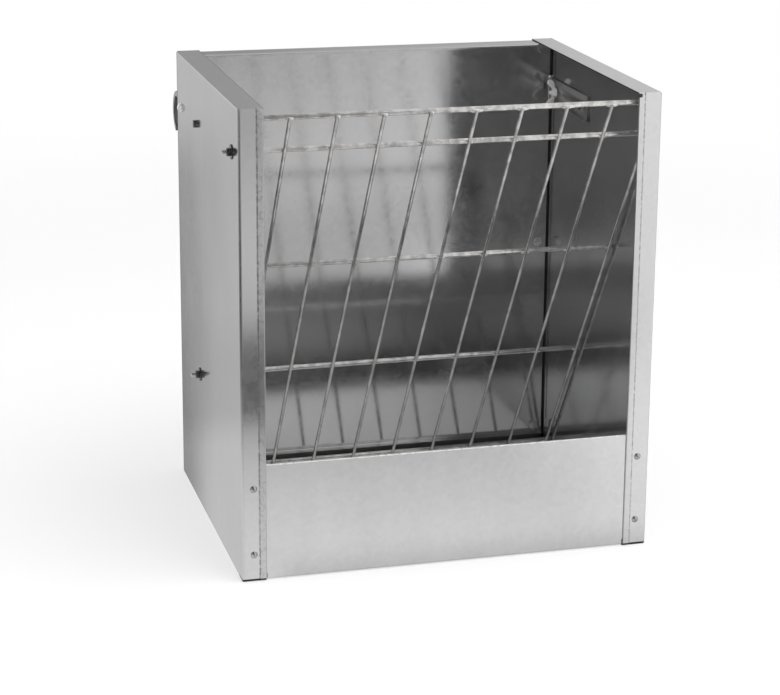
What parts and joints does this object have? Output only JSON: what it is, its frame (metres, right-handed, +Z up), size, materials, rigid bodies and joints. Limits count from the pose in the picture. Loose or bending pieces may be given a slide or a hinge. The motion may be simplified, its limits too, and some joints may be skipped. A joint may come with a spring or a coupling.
{
  "type": "hay feeder box",
  "caption": "Open-fronted sheet-steel hay feeder box: sloping welded wire grid, low feed tray, folded side panels, rear hanging hooks and wing nuts.",
  "frame": {"origin": "on the ground, midway between the two side walls, and midway in depth between the rivet heads in front and the backs of the hanging hooks", "axes": "+X to the right seen from the open front, +Y to the back panel, +Z up"},
  "size_m": [0.487, 0.4051, 0.522],
  "materials": {
    "galvanised_sheet": "bright galvanised sheet, faintly mottled, nearly mirror-like",
    "galvanised_wire": "bright galvanised wire with small weld beads",
    "hook_steel": "galvanised flat bar",
    "zinc_fastener": "zinc-plated",
    "rivet_metal": "satin"
  },
  "bodies": {
    "feeder": {"left_side_panel": "galvanised_sheet", "right_side_panel": "galvanised_sheet", "back_panel": "galvanised_sheet", "feed_tray": "galvanised_sheet", "top_rod": "galvanised_wire", "upper_tie_rod": "galvanised_wire", "middle_rod": "galvanised_wire", "lower_tie_rod": "galvanised_wire", "bottom_rod": "galvanised_wire", "hay_wire_1": "galvanised_wire", "hay_wire_2": "galvanised_wire", "hay_wire_3": "galvanised_wire", "hay_wire_4": "galvanised_wire", "hay_wire_5": "galvanised_wire", "hay_wire_6": "galvanised_wire", "hay_wire_7": "galvanised_wire", "hay_wire_8": "galvanised_wire", "hay_wire_9": "galvanised_wire", "hay_wire_10": "galvanised_wire", "tie_rod_washers": "zinc_fastener", "tie_rod_nuts": "zinc_fastener", "left_hanging_hook": "hook_steel", "right_hanging_hook": "hook_steel", "hook_wing_bolts": "zinc_fastener", "hook_fixing_bolts": "zinc_fastener", "hook_fixing_nuts": "zinc_fastener", "back_panel_bolts": "zinc_fastener", "back_panel_nuts": "zinc_fastener", "front_rivets": "rivet_metal"},
    "left_hook_wing_nut": {"left_hook_wing_nut": "zinc_fastener"},
    "right_hook_wing_nut": {"right_hook_wing_nut": "zinc_fastener"}
  },
  "joints": [
    {"name": "left_hook_wing_nut_turn", "type": "hinge", "parent": "feeder", "child": "left_hook_wing_nut", "pos_m": [-0.225, 0.1376, 0.46], "axis": [1, 0, 0], "continuous": true},
    {"name": "right_hook_wing_nut_turn", "type": "hinge", "parent": "feeder", "child": "right_hook_wing_nut", "pos_m": [0.225, 0.1376, 0.46], "axis": [1, 0, 0], "continuous": true}
  ]
}
